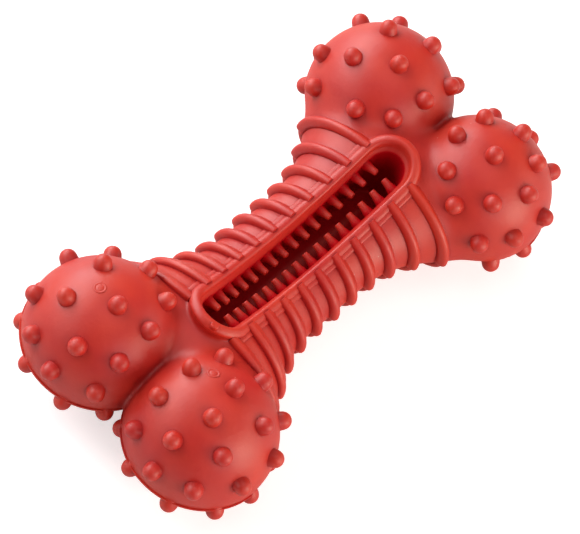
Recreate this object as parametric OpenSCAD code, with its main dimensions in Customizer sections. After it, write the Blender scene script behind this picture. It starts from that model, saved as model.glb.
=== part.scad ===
// Rubber chew toy in the shape of a bone, resting on four feet.
// X runs along the bone, Y across it, and the treat slot opens upward along Z.
// The toy is one moulding: each node is one moulded region of it, and the
// regions meet face to face.

/* [Lobes] */
// Radius of the ball of each lobe above the parting line
lobe_r = 20.5; // [20:0.25:21]
// Depth by which each lobe runs past the middle, into the lobe beside it
lobe_merge = 2; // [1.5:0.25:2.25]
// Gap between each lobe and the outside of the slot's round end
lobe_gap = 0.3; // [0.2:0.1:0.6]
// Height of the ball's centre above the parting line
lobe_rise = 3; // [2.5:0.25:3.5]
// Depth of each lobe below the parting line
lobe_depth = 10.8; // [10:0.2:11.4]

/* [Studs] */
// Radius of a stud at its root
stud_root_r = 2.5; // [2.4:0.05:2.6]
// Radius of the ball that forms a stud's tip
stud_tip_r = 2.4; // [2.3:0.05:2.45]
// Length of a stud's tapered part
stud_shaft_h = 1.7; // [1.5:0.1:1.9]
// Height of a stud above the lobe
stud_h = 3.3; // [3.2:0.05:3.5]
// Height that each foot stud loses to its flat tip
foot_cut = 0.2; // [0.15:0.05:0.3]

/* [Shank] */
// Half width of the waist at the parting line
waist_w = 17.4; // [17:0.2:18]
// Length of each flare, from the waist to the centre of the slot's round end
flare_run = 23.1; // [22.5:0.3:24]
// Radius of the flare from the waist to the lobes
flare_r = 38; // [37:0.5:41]
// Depth of the waist below the parting line
waist_depth = 8.5; // [8:0.25:9]
// Extra depth of the shank at the slot's ends
depth_bow = 1.35; // [1:0.25:1.75]

/* [Slot] */
// Half length of the slot between the centres of its round ends
slot_half = 33.1; // [32.6:0.25:33.85]
// Half width of the slot at the pegs and below them
slot_w = 5.2; // [5:0.1:5.4]
// Half width of the slot at the rim
rim_in = 6.2; // [6:0.1:6.4]
// Half width across the outside of the rim
rim_out = 9; // [8.8:0.1:9.2]
// Height of the rim's seat above the parting line at the middle
seat_h = 9.4; // [9.2:0.1:9.8]
// Extra height of the rim's seat at the slot's ends
seat_bow = 6; // [5.8:0.1:6.3]
// Height of the rim's bead above its seat
bead_h = 1.5; // [1.2:0.1:1.8]
// Height of the slot's floor above the shank's underside
floor_t = 3; // [2.5:0.25:4]

/* [Pegs] */
// Number of pegs in each row
peg_count = 16; // [10:1:16]
// Distance from the last pegs to the centres of the slot's round ends
peg_inset = 1.2; // [0.8:0.2:3]
// Radius of a peg at the wall
peg_root_r = 1.5; // [1.3:0.05:1.55]
// Radius of a peg's tip
peg_tip_r = 0.85; // [0.7:0.05:0.95]
// Length of a peg with its chamfer
peg_len = 3.1; // [2.8:0.1:3.1]
// Length of the chamfer at a peg's tip
peg_chamfer = 0.3; // [0.2:0.05:0.4]
// Height of the middle pegs above the parting line
peg_h = 5.6; // [5.4:0.1:5.8]
// Extra height of the pegs at the slot's ends
peg_bow = 7.2; // [7:0.1:7.4]

/* [Ribs] */
// Number of ribs on each flank
rib_count = 11; // [7:2:11]
// Distance by which the rows of ribs run past the centres of the slot's round ends
rib_past = 2.65; // [2.4:0.05:2.75]
// Shift of the rows of ribs toward the near lobes
rib_shift = 1.75; // [1.5:0.05:1.8]
// Width of a rib
rib_w = 3; // [2.8:0.1:3.4]
// Height of a rib
rib_h = 1.9; // [1.6:0.1:2.1]
// Height of the tabs between the ribs at the rim
tab_h = 0.7; // [0.5:0.1:0.9]

/* [Moulding marks] */
// Height of the flash that stands out at the parting line
flash_h = 0.45; // [0.3:0.05:0.6]
// Thickness of the flash
flash_t = 0.5; // [0.4:0.05:0.7]
// Radius of a gate mark
gate_r = 1.9; // [1.6:0.1:2.2]
// Height of a gate mark
gate_h = 0.3; // [0.2:0.05:0.4]

/* [Hidden] */

lobe_y = lobe_r - lobe_merge;
neck_len = sqrt(pow(lobe_r + rim_out + lobe_gap, 2) - lobe_y * lobe_y);
lobe_x = slot_half + neck_len;
waist_half = slot_half - flare_run;
peg_pitch = 2 * (slot_half - peg_inset) / (peg_count - 1);
rib_pitch = 2 * (slot_half + rib_past) / (rib_count - 1);
seam_r = sqrt(lobe_r * lobe_r - lobe_rise * lobe_rise);
cap_r = (seam_r * seam_r + lobe_depth * lobe_depth) / (2 * lobe_depth);
seam_z = lobe_depth + stud_h - foot_cut;
ball_z = seam_z + lobe_rise;
cap_z = seam_z - lobe_depth + cap_r;
// Angle round the cap, from straight down, at the parting line
cap_angle = acos((cap_z - seam_z) / cap_r);
floor_z = seam_z - waist_depth + floor_t;
reach = 3 * lobe_r;
tip_in = stud_h - stud_tip_r;
shaft_tip_r = sqrt(stud_tip_r * stud_tip_r - pow(stud_shaft_h - tip_in, 2));
row_shift = rib_shift + slot_half + rib_past;

// Studs above the parting line: height angle and angle round the lobe, from
// straight outward along the bone toward the lobe's own flank.
angles_near_left = [[16, -37], [14, 0], [18, 30], [22, 62], [16, 108], [16, 142],
    [43, -51], [57, -97], [47, -147], [44, -6], [40, 173], [57, 120], [53, 50], [84, -41]];
angles_near_right = [[20, -33], [14, 0], [18, 33], [21, 70], [22, 106], [16, 142],
    [45, -53], [57, -100], [46, -146], [44, -4], [39, 170], [51, 114], [48, 51],
    [74, 23], [76, 175]];
angles_far_left = [[15, -37], [14, 0], [18, 31], [16, 62], [23, 114], [16, 142],
    [40, -54], [54, -98], [44, -139], [52, -8], [38, -177], [54, 128], [59, 56], [85, -154]];
angles_far_right = [[16, -33], [14, 0], [16, 32], [24, 81], [22, 114], [17, 142],
    [52, -54], [54, -103], [48, -151], [55, -3], [37, 176], [51, 141], [57, 46],
    [85, -164], [52, 92]];
// Studs below the parting line: share of the way from the lowest point up to the
// parting line, and angle round the lobe.
low_row = 0.913;
foot_row = 0.457;
angles_lower = [[low_row, -51], [low_row, -18], [low_row, 22], [low_row, 58], [low_row, 90],
    [low_row, 122], [foot_row, -100], [foot_row, -40], [foot_row, 20], [foot_row, 80],
    [foot_row, 140]];
// Gate marks on the near lobes: height angle and angle round the lobe.
gate_angles_left = [75, 79];
gate_angles_right = [67, -127];

// Half width of the shank and neck at the parting line
function flare_w(x) = waist_w + flare_r
    - sqrt(pow(flare_r, 2) - pow(max(abs(x) - waist_half, 0), 2));
// Share of the way along the neck
function neck_share(x) = max(abs(x) - slot_half, 0) / neck_len;
end_w = flare_w(slot_half);
end_slope = (slot_half - waist_half) / sqrt(pow(flare_r, 2) - pow(slot_half - waist_half, 2));
// Shares that shape the neck: its width at its end, how far it swells past the flare,
// how far its top and its underside fall, and how far its top swells.
tip_share = 0.4;
swell_share = 0.9;
top_fall = 0.34;
low_fall = 0.95;
top_swell = 0.06;
fall_power = 1.5;
swell = swell_share * end_slope * neck_len / PI;
function half_w(x) = let(t = neck_share(x)) t == 0 ? flare_w(x)
    : end_w * (1 - (1 - tip_share) * t * t) + swell * sin(180 * t);
// Height of the rim's seat above the parting line
function seat(x) = seat_h + seat_bow * pow(x / slot_half, 2);
end_e = seat(slot_half) / sqrt(1 - pow(rim_out / end_w, 2));
// Height of the top over the middle line
function top_h(x) = let(t = neck_share(x))
    t == 0 ? seat(x) / sqrt(1 - pow(rim_out / half_w(x), 2))
    : end_e * (1 - top_fall * pow(t, fall_power) + top_swell * sin(180 * t));
// Depth of the underside below the middle line
function low_h(x) = let(t = neck_share(x))
    (waist_depth + depth_bow * pow(min(abs(x) / slot_half, 1), 2)) * (1 - low_fall * pow(t, fall_power));

low_steps = 6;
top_steps = 10;
mid_steps = 6;
// Angle round the section, from straight down, at a point of the flank
function flank_a(x, k) = k <= low_steps
    ? let(a = asin(slot_w / half_w(x))) a + (90 - a) * k / low_steps
    : let(a = asin(rim_out / half_w(x))) 90 + (90 - a) * (k - low_steps) / top_steps;
// Point of the flank, k counting from the slot's foot round to the rim
function flank(x, k) = let(a = flank_a(x, k))
    [x, half_w(x) * sin(a), seam_z - cos(a) * (k <= low_steps ? low_h(x) : top_h(x))];
// Direction out of the flank; the last point looks straight up along the rim
function flank_out(x, k) = k == low_steps + top_steps ? [0, 0, 1]
    : let(a = flank_a(x, k), e = k <= low_steps ? low_h(x) : top_h(x),
        v = [0, sin(a) * e, -cos(a) * half_w(x)]) v / norm(v);
last_k = low_steps + top_steps;

function rib_x(i) = i * rib_pitch - row_shift;
// Stations along the bone, with one at each edge of each rib
rib_edges = [for (i = [0:rib_count - 1]) for (s = [-1, 1]) rib_x(i) + s * rib_w / 2];
shank_x = concat([-slot_half], [for (x = rib_edges) if (abs(x) < slot_half) x], [slot_half]);
neck_shares = [0.27, 0.36, 0.45, 0.54, 0.62, 0.7];
neck_steps = [for (t = neck_shares) slot_half + t * neck_len];
neck_near_x = concat([slot_half], [-rib_x(0) - rib_w / 2, -rib_x(0) + rib_w / 2], neck_steps);
neck_far_x = concat([slot_half, rib_x(rib_count - 1) + rib_w / 2], neck_steps);

function flat(rows) = [for (row = rows) for (p = row) p];
// Closed skin over equal rows of points, one row after another
module skin(rows) {
    n = len(rows[0]);
    m = len(rows);
    polyhedron(points = flat(rows), faces = concat(
        [[for (p = [0:n - 1]) p]],
        [[for (p = [n - 1:-1:0]) (m - 1) * n + p]],
        [for (s = [0:m - 2]) for (p = [0:n - 1])
            [s * n + p, (s + 1) * n + (p + 1) % n, s * n + (p + 1) % n]],
        [for (s = [0:m - 2]) for (p = [0:n - 1])
            [s * n + p, (s + 1) * n + p, (s + 1) * n + (p + 1) % n]]));
}
// The same with the end rows closed by a fan of triangles
module fan_skin(rows) {
    n = len(rows[0]);
    m = len(rows);
    polyhedron(points = flat(rows), faces = concat(
        [for (p = [1:n - 2]) [0, p, p + 1]],
        [for (p = [1:n - 2]) [(m - 1) * n, (m - 1) * n + p + 1, (m - 1) * n + p]],
        [for (s = [0:m - 2]) for (p = [0:n - 1])
            [s * n + p, (s + 1) * n + (p + 1) % n, s * n + (p + 1) % n]],
        [for (s = [0:m - 2]) for (p = [0:n - 1])
            [s * n + p, (s + 1) * n + p, (s + 1) * n + (p + 1) % n]]));
}

// Lower edge of the slanted lead-in above the pegs
lead_share = 1.1;
function peg_z(x) = seam_z + peg_h + peg_bow * pow(x / slot_half, 2);
function lead_z(x) = peg_z(x) + lead_share * peg_root_r;

// One lobe, whole: a ball above the parting line and a flatter cap below it
module lobe_blank(steps = 96) {
    translate([lobe_x, lobe_y, 0]) {
        intersection() {
            translate([0, 0, ball_z]) sphere(r = lobe_r, $fn = steps);
            translate([-reach / 2, -reach / 2, seam_z]) cube([reach, reach, reach]);
        }
        intersection() {
            translate([0, 0, cap_z]) sphere(r = cap_r, $fn = steps);
            translate([-reach / 2, -reach / 2, seam_z - reach]) cube([reach, reach, reach]);
        }
    }
}
// Outline of the round end of the slot's wall
end_steps = 16;
function end_a(i) = -90 + 180 * i / end_steps;
module end_plug() {
    translate([slot_half, 0, floor_z]) linear_extrude(height = reach)
        polygon([for (i = [0:end_steps]) rim_out * [cos(end_a(i)), sin(end_a(i))]]);
}
module lobe() {
    intersection() {
        lobe_blank();
        translate([0, 0, -reach]) cube([lobe_x + reach, lobe_y + reach, 2 * reach]);
    }
}
// Neck between the shank and the lobes, with one row of points at each x of rows_x
module neck(rows_x) {
    difference() {
        skin([for (x = rows_x) concat(
            [for (k = [0:last_k]) flank(x, k)],
            [for (j = [1:mid_steps - 1]) let(y = rim_out * (1 - 2 * j / mid_steps))
                [x, y, seam_z + top_h(x) * sqrt(1 - pow(y / half_w(x), 2))]],
            [for (k = [last_k:-1:0]) let(p = flank(x, k)) [p[0], -p[1], p[2]]])]);
        lobe_blank();
        mirror([0, 1, 0]) lobe_blank();
        end_plug();
    }
}
module wall() {
    skin([for (x = shank_x) concat(
        [for (k = [0:last_k]) flank(x, k)],
        [[x, rim_in, seam_z + seat(x)], [x, slot_w, lead_z(x)]])]);
}
module slot_floor() {
    color("firebrick") skin([for (x = shank_x) let(p = flank(x, 0))
        [[x, -slot_w, p[2]], [x, slot_w, p[2]], [x, slot_w, floor_z], [x, -slot_w, floor_z]]]);
}
// Outline of the rim's bead: share across from the outside and share of the height
bead_shares = [[0, 0], [0, 0.3], [0.12, 0.6], [0.32, 0.86], [0.52, 0.98], [0.68, 1],
    [0.84, 0.92], [0.96, 0.7], [1, 0.4], [1, 0]];
module rim() {
    skin([for (x = shank_x) [for (b = bead_shares)
        [x, rim_out + (rim_in - rim_out) * b[0], seam_z + seat(x) + bead_h * b[1]]]]);
}
module slot_end() {
    skin([for (i = [end_steps:-1:0])
        let(c = cos(end_a(i)), s = sin(end_a(i)), x = slot_half + (rim_in + rim_out) / 2 * c)
        [for (b = concat([[rim_out, floor_z]],
            [for (j = [1:len(bead_shares) - 1]) let(b = bead_shares[j])
                [rim_out + (rim_in - rim_out) * b[0], seam_z + seat(x) + bead_h * b[1]]],
            [[slot_w, lead_z(x)], [slot_w, floor_z]]))
            [slot_half + b[0] * c, b[0] * s, b[1]]]]);
}
// Outline of a rib: share of the way across and share of the height
rib_shares = [[1, 0], [1, 0.5], [0.84, 0.86], [0.5, 1], [0.16, 0.86], [0, 0.5], [0, 0]];
tab_shares = [[1, 0], [0.94, 1], [0.06, 1], [0, 0]];
// Ridge that lies on the flank between two stations
module ridge(x0, x1, k0, k1, h, shares) {
    fan_skin([for (k = [k0:k1]) [for (b = shares)
        let(p = flank(x0, k) * (1 - b[0]) + flank(x1, k) * b[0])
        p + flank_out((x0 + x1) / 2, k) * h * b[1]]]);
}
// Ribs of one flank between two points of its section
module ribs(k0, k1) {
    difference() {
        for (i = [0:rib_count - 1])
            ridge(rib_x(i) - rib_w / 2, rib_x(i) + rib_w / 2, k0, k1, rib_h, rib_shares);
        mirror([1, 0, 0]) lobe_blank();
        lobe_blank();
    }
}
rib_foot_k = 2;
module ribs_upper() { ribs(low_steps, last_k); }
module ribs_lower() { ribs(rib_foot_k, low_steps); }
module tabs() {
    for (i = [0:rib_count - 2])
        ridge(rib_x(i) + rib_w / 2, rib_x(i + 1) - rib_w / 2, last_k - 1, last_k, tab_h, tab_shares);
}
module pegs() {
    for (i = [0:peg_count - 1])
        let(x = (i - (peg_count - 1) / 2) * peg_pitch)
        translate([x, slot_w, peg_z(x)])
            rotate([90, 0, 0]) {
                cylinder(r1 = peg_root_r, r2 = peg_tip_r, h = peg_len - peg_chamfer, $fn = 48);
                translate([0, 0, peg_len - peg_chamfer])
                    cylinder(r1 = peg_tip_r, r2 = peg_tip_r - peg_chamfer, h = peg_chamfer, $fn = 48);
            }
}
// One stud standing on a ball of radius ball_r about the origin, along Z
module stud(ball_r) {
    difference() {
        translate([0, 0, ball_r - stud_h / 2])
            cylinder(r1 = stud_root_r, r2 = shaft_tip_r, h = stud_shaft_h + stud_h / 2, $fn = 48);
        sphere(r = ball_r, $fn = 96);
    }
    intersection() {
        translate([0, 0, ball_r + tip_in]) sphere(r = stud_tip_r, $fn = 48);
        translate([-stud_h, -stud_h, ball_r + stud_shaft_h]) cube([2 * stud_h, 2 * stud_h, stud_h]);
    }
}
module studs(upper) {
    for (a = upper)
        translate([lobe_x, lobe_y, ball_z]) rotate([0, 90 - a[0], a[1]]) stud(lobe_r);
    for (a = angles_lower)
        translate([lobe_x, lobe_y, cap_z]) rotate([0, 180 - a[0] * cap_angle, a[1]]) stud(cap_r);
    intersection() {
        translate([lobe_x, lobe_y, cap_z]) mirror([0, 0, 1]) stud(cap_r);
        translate([lobe_x - reach / 2, lobe_y - reach / 2, 0]) cube([reach, reach, reach]);
    }
}
// Flash round the free edge of one lobe
module flash() {
    difference() {
        translate([lobe_x, lobe_y, seam_z - flash_t / 2])
            cylinder(r = seam_r + flash_h, h = flash_t, $fn = 360);
        lobe_blank(360);
        translate([0, -reach, 0]) cube([lobe_x, 2 * reach, reach]);
        translate([0, -reach, 0]) cube([lobe_x + reach, reach, reach]);
    }
}
module gate_disc(a) {
    translate([lobe_x, lobe_y, ball_z]) rotate([0, 90 - a[0], a[1]])
        difference() {
            cylinder(r = gate_r, h = lobe_r + gate_h, $fn = 96);
            sphere(r = lobe_r, $fn = 480);
        }
}
module near() { mirror([1, 0, 0]) children(); }
module right() { mirror([0, 1, 0]) children(); }

color("indianred") near() lobe();  // lobe_near_left
color("indianred") near() right() lobe();  // lobe_near_right
color("indianred") lobe();  // lobe_far_left
color("indianred") right() lobe();  // lobe_far_right
color("tomato") near() studs(angles_near_left);  // studs_near_left
color("tomato") near() right() studs(angles_near_right);  // studs_near_right
color("tomato") studs(angles_far_left);  // studs_far_left
color("tomato") right() studs(angles_far_right);  // studs_far_right
color("brown") near() neck(neck_near_x);  // neck_near
color("brown") neck(neck_far_x);  // neck_far
color("firebrick") wall();  // wall_left
color("firebrick") right() wall();  // wall_right
slot_floor();
color("salmon") rim();  // rim_left
color("salmon") right() rim();  // rim_right
color("salmon") near() slot_end();  // slot_end_near
color("salmon") slot_end();  // slot_end_far
color("tomato") pegs();  // pegs_left
color("tomato") right() pegs();  // pegs_right
color("crimson") ribs_upper();  // ribs_left_upper
color("crimson") ribs_lower();  // ribs_left_lower
color("crimson") right() ribs_upper();  // ribs_right_upper
color("crimson") right() ribs_lower();  // ribs_right_lower
color("salmon") tabs();  // tabs_left
color("salmon") right() tabs();  // tabs_right
color("salmon") {  // flash_line
    flash();
    near() flash();
    right() flash();
    near() right() flash();
}
color("salmon") {  // gate_marks
    near() gate_disc(gate_angles_left);
    near() right() gate_disc(gate_angles_right);
}
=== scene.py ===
"""Looks of a bone-shaped rubber chew toy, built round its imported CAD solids.

Every size is in millimetres, in the frame of the CAD model, and becomes metres only
where a mesh, a lamp or the camera is made.
"""

import logging
import math
from dataclasses import dataclass, field
from enum import Enum
from itertools import product
from typing import Callable, Sequence

import bpy
import numpy as np
from bpy.types import Material, Mesh, Node, NodeSocket, NodeTree, Object
from mathutils import Matrix, Vector

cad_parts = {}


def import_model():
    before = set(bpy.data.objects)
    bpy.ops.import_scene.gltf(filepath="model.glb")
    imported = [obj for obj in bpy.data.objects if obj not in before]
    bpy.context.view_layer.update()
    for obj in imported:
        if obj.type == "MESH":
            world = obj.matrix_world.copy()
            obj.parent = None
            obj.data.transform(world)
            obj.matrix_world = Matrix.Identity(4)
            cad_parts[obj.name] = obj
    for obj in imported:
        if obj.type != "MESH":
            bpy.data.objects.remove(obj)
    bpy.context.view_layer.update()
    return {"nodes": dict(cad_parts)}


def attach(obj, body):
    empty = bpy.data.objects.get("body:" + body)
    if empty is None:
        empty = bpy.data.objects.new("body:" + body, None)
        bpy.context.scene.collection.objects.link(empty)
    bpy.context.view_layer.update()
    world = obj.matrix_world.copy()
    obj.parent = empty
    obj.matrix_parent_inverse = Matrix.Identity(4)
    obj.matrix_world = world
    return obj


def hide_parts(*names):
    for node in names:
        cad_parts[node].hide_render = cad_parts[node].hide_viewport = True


MM = 0.001
BODY_NAME = "root"
LOG = logging.getLogger("chew_toy")
Colour = tuple[float, float, float]
Span = tuple[float, float]
Outline = Sequence[tuple[float, float]]
Place = tuple[float, float, float]
StudPlace = tuple[float, float]
Field = Callable[[np.ndarray], np.ndarray]
FlankLine = tuple[np.ndarray, np.ndarray, np.ndarray]
UNIT: Span = (0.0, 1.0)
TINY = 1e-9


class Side(Enum):
    """A flank of the toy, with its sign along Y."""

    LEFT = 1
    RIGHT = -1


class End(Enum):
    """An end of the bone, with its sign along X."""

    NEAR = -1
    FAR = 1


@dataclass(frozen=True)
class ToyShape:
    """The sizes that the moulded regions share."""

    lobe_r: float = 20.5
    lobe_merge: float = 2.0
    lobe_gap: float = 0.3
    lobe_rise: float = 3.0
    lobe_depth: float = 10.8
    foot_h: float = 3.1
    waist_w: float = 17.4
    flare_run: float = 23.1
    flare_r: float = 38.0
    waist_depth: float = 8.5
    depth_bow: float = 1.35
    slot_half: float = 33.1
    slot_w: float = 5.2
    rim_in: float = 6.2
    rim_out: float = 9.0
    seat_h: float = 9.4
    seat_bow: float = 6.0
    floor_t: float = 3.0
    peg_h: float = 5.6
    peg_bow: float = 7.2
    peg_root_r: float = 1.5
    lip_share: float = 0.6
    swell_share: float = 0.9
    narrow_share: float = 0.6
    top_drop_share: float = 0.34
    crown_share: float = 0.06
    low_drop_share: float = 0.95
    drop_power: float = 1.5

    @property
    def lobe_y(self) -> float:
        """Distance of each lobe from the middle, across the bone."""
        return self.lobe_r - self.lobe_merge

    @property
    def neck_len(self) -> float:
        """Distance along the bone from the slot's end centres to the lobes."""
        return math.sqrt((self.lobe_r + self.rim_out + self.lobe_gap) ** 2 - self.lobe_y ** 2)

    @property
    def lobe_x(self) -> float:
        """Distance of each lobe from the middle, along the bone."""
        return self.slot_half + self.neck_len

    @property
    def seam_r(self) -> float:
        """Radius of a lobe at the parting line."""
        return math.sqrt(self.lobe_r ** 2 - self.lobe_rise ** 2)

    @property
    def cap_r(self) -> float:
        """Radius of the cap below the parting line."""
        return (self.seam_r ** 2 + self.lobe_depth ** 2) / (2 * self.lobe_depth)

    @property
    def seam_z(self) -> float:
        """Height of the parting line."""
        return self.lobe_depth + self.foot_h

    @property
    def ball_z(self) -> float:
        """Height of the upper ball's centre."""
        return self.seam_z + self.lobe_rise

    @property
    def cap_z(self) -> float:
        """Height of the lower cap's centre."""
        return self.foot_h + self.cap_r

    @property
    def floor_z(self) -> float:
        """Height of the slot's floor."""
        return self.seam_z - self.waist_depth + self.floor_t

    @property
    def lip_z(self) -> float:
        """Height at the middle of the lip where the slanted lead-in ends."""
        return self.seam_z + self.peg_h + self.lip_share * self.peg_root_r

    def lip(self, x: np.ndarray) -> np.ndarray:
        """Height of the lip above the pegs."""
        return self.lip_z + self.peg_bow * (np.asarray(x) / self.slot_half) ** 2

    def neck_share(self, x: np.ndarray) -> np.ndarray:
        """Share of the way along the neck, nought on the shank."""
        return np.clip(np.abs(x) - self.slot_half, 0, self.neck_len) / self.neck_len

    def half_w(self, x: np.ndarray) -> np.ndarray:
        """Half width at the parting line.

        Args:
            x: Places along the bone.

        Returns:
            The half width at each place.
        """
        past = np.clip(np.abs(x), 0, self.slot_half) - self.slot_half + self.flare_run
        past = np.clip(past, 0, None)
        flare = self.waist_w + self.flare_r - np.sqrt(self.flare_r ** 2 - past ** 2)
        slope = self.flare_run / math.sqrt(self.flare_r ** 2 - self.flare_run ** 2)
        swell = self.swell_share * slope * self.neck_len / math.pi
        t = self.neck_share(x)
        return flare * (1 - self.narrow_share * t * t) + swell * np.sin(math.pi * t)

    def seat(self, x: np.ndarray) -> np.ndarray:
        """Height of the rim's seat above the parting line."""
        return self.seat_h + self.seat_bow * (np.asarray(x) / self.slot_half) ** 2

    def lobe_centre(self, end: End, side: Side, z: float) -> np.ndarray:
        """Point on a lobe's upright axis at one height."""
        return np.array([end.value * self.lobe_x, side.value * self.lobe_y, z])

    def top_h(self, x: np.ndarray) -> np.ndarray:
        """Height over the middle line above the parting line.

        Args:
            x: Places along the bone.

        Returns:
            The height at each place.
        """
        near = np.clip(np.abs(x), 0, self.slot_half)
        rise = self.seat(near) / np.sqrt(1 - (self.rim_out / self.half_w(near)) ** 2)
        t = self.neck_share(x)
        drop = self.top_drop_share * t ** self.drop_power
        return rise * (1 - drop + self.crown_share * np.sin(math.pi * t))

    def low_h(self, x: np.ndarray) -> np.ndarray:
        """Depth under the middle line below the parting line.

        Args:
            x: Places along the bone.

        Returns:
            The depth at each place.
        """
        share = np.clip(np.abs(x) / self.slot_half, 0, 1)
        drop = self.low_drop_share * self.neck_share(x) ** self.drop_power
        return (self.waist_depth + self.depth_bow * share ** 2) * (1 - drop)


class TreeTool:
    """A node tree under construction."""

    def __init__(self, tree: NodeTree) -> None:
        """Takes up a tree."""
        self.tree = tree

    def add(self, kind: str, links: dict[str | int, object] | None = None, **facts: object) -> Node:
        """Adds a node.

        Args:
            kind: The node's type.
            links: Sockets or values for its inputs, by name or number.
            facts: Its properties.

        Returns:
            The node.
        """
        node = self.tree.nodes.new(kind)
        for key, value in facts.items():
            setattr(node, key, value)
        for key, value in (links or {}).items():
            self.feed(node.inputs[key], value)
        return node

    def feed(self, socket: NodeSocket, value: object) -> None:
        """Links a socket to an input, or sets a plain value there."""
        if isinstance(value, NodeSocket):
            self.tree.links.new(value, socket)
        else:
            socket.default_value = value

    def math(self, operation: str, *values: object) -> NodeSocket:
        """Adds a calculation.

        Args:
            operation: Its kind.
            values: Sockets or plain numbers.

        Returns:
            The result.
        """
        return self.add("ShaderNodeMath", dict(enumerate(values)), operation=operation).outputs[0]


@dataclass(frozen=True)
class Noise:
    """A noise texture: waves per metre, octaves and the strength of the finer ones."""

    scale: float
    detail: float
    roughness: float


class ShaderTool(TreeTool):
    """A material's node tree under construction."""

    def __init__(self, name: str) -> None:
        """Starts a material with its principled shader."""
        self.material = bpy.data.materials.new(name)
        self.material.use_nodes = True
        super().__init__(self.material.node_tree)
        self.shader = self.tree.nodes["Principled BSDF"]

    def noise(self, place: NodeSocket, kind: Noise) -> NodeSocket:
        """Adds a noise texture and gives its value."""
        node = self.add("ShaderNodeTexNoise", {"Vector": place, "Scale": kind.scale,
                                               "Detail": kind.detail, "Roughness": kind.roughness})
        return node.outputs["Fac"]

    def ramp(self, factor: NodeSocket, span: Span, low: Colour, high: Colour) -> NodeSocket:
        """Adds a ramp from one colour to another.

        Args:
            factor: Socket that drives the ramp.
            span: The factor's values at the two colours.
            low: Colour at the span's start.
            high: Colour at the span's end.

        Returns:
            The ramp's colour.
        """
        node = self.add("ShaderNodeValToRGB", {"Fac": factor})
        for stop, position, colour in zip(node.color_ramp.elements, span, (low, high)):
            stop.position = position
            stop.color = (*colour, 1.0)
        return node.outputs["Color"]

    def span(self, value: NodeSocket, given: Span, wanted: Span) -> NodeSocket:
        """Maps one clamped span of numbers onto another.

        Args:
            value: Socket with the number.
            given: The span that the number comes in.
            wanted: The span that it leaves in.

        Returns:
            The mapped number.
        """
        ends = dict(zip(("From Min", "From Max", "To Min", "To Max"), (*given, *wanted)))
        return self.add("ShaderNodeMapRange", {"Value": value, **ends}).outputs["Result"]

    def blend(self, factor: NodeSocket, base: NodeSocket, over: Colour) -> NodeSocket:
        """Lays a colour over another.

        Args:
            factor: Socket with the upper colour's share.
            base: Socket with the lower colour.
            over: The upper colour.

        Returns:
            The mixed colour.
        """
        node = self.add("ShaderNodeMix", data_type="RGBA")
        sockets = {s.identifier: s for s in node.inputs}
        for key, value in (("Factor_Float", factor), ("A_Color", base), ("B_Color", (*over, 1.0))):
            self.feed(sockets[key], value)
        return {s.identifier: s for s in node.outputs}["Result_Color"]

    def bump(self, height: NodeSocket, depth: float, under: NodeSocket | None) -> NodeSocket:
        """Adds a bump node.

        Args:
            height: Socket with the height.
            depth: Height of the bump in metres.
            under: Normal of the coarser bump below it, if any.

        Returns:
            The bumped normal.
        """
        links = {"Distance": depth, "Height": height}
        if under is not None:
            links["Normal"] = under
        return self.add("ShaderNodeBump", links).outputs["Normal"]


class GeometryTool(TreeTool):
    """A Geometry Nodes tree under construction, with named inputs."""

    def __init__(self, name: str) -> None:
        """Starts a tree that takes and gives geometry."""
        super().__init__(bpy.data.node_groups.new(name, "GeometryNodeTree"))
        self.tree.interface.new_socket("Geometry", in_out="INPUT", socket_type="NodeSocketGeometry")
        self.tree.interface.new_socket("Geometry", in_out="OUTPUT", socket_type="NodeSocketGeometry")
        self.source = self.tree.nodes.new("NodeGroupInput")
        self.values: dict[str, object] = {}

    def ask(self, name: str, kind: str, value: object) -> NodeSocket:
        """Adds a named input.

        Args:
            name: The input's name.
            kind: Its socket type.
            value: The value that the modifier gets.

        Returns:
            The socket inside the tree.
        """
        item = self.tree.interface.new_socket(name, in_out="INPUT", socket_type=kind)
        self.values[item.identifier] = value
        return self.source.outputs[name]

    def attribute(self, name: str, kind: str) -> NodeSocket:
        """Reads a point attribute by its name."""
        node = self.add("GeometryNodeInputNamedAttribute", {"Name": name}, data_type=kind)
        return node.outputs["Attribute"]

    def form(self, name: str, source: Object) -> NodeSocket:
        """Asks for another object and gives its geometry."""
        asked = self.ask(name, "NodeSocketObject", source)
        return self.add("GeometryNodeObjectInfo", {"Object": asked}).outputs["Geometry"]

    def repeat(self, points: NodeSocket, form: NodeSocket, way: object) -> NodeSocket:
        """Stands a form on points.

        Args:
            points: The points.
            form: The form's geometry.
            way: Direction of the form's Z axis, as a socket or a plain vector.

        Returns:
            The instances.
        """
        turn = self.add("FunctionNodeAlignRotationToVector", {"Vector": way}, axis="Z")
        many = self.add("GeometryNodeInstanceOnPoints", {
            "Points": points, "Instance": form, "Rotation": turn.outputs["Rotation"]})
        return many.outputs["Instances"]

    def apply(self, seed: Object, last: NodeSocket, material: Material) -> Object:
        """Ends the tree and turns its result into a plain mesh.

        Args:
            seed: The object that carries the points.
            last: The geometry to finish.
            material: The finish.

        Returns:
            The plain mesh object, under the seed's name.
        """
        real = self.add("GeometryNodeRealizeInstances", {"Geometry": last})
        finish = self.ask("Finish", "NodeSocketMaterial", material)
        dressed = self.add("GeometryNodeSetMaterial",
                           {"Geometry": real.outputs["Geometry"], "Material": finish})
        self.add("NodeGroupOutput", {"Geometry": dressed.outputs["Geometry"]})
        modifier = seed.modifiers.new("build", "NODES")
        modifier.node_group = self.tree
        for identifier, value in self.values.items():
            modifier[identifier] = value
        ready = seed.evaluated_get(bpy.context.evaluated_depsgraph_get())
        mesh = bpy.data.meshes.new_from_object(ready)
        seed.modifiers.remove(modifier)
        name = seed.name
        bpy.data.objects.remove(seed)
        mesh.name = name
        mesh.shade_smooth()
        piece = bpy.data.objects.new(name, mesh)
        bpy.context.collection.objects.link(piece)
        return piece


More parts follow.
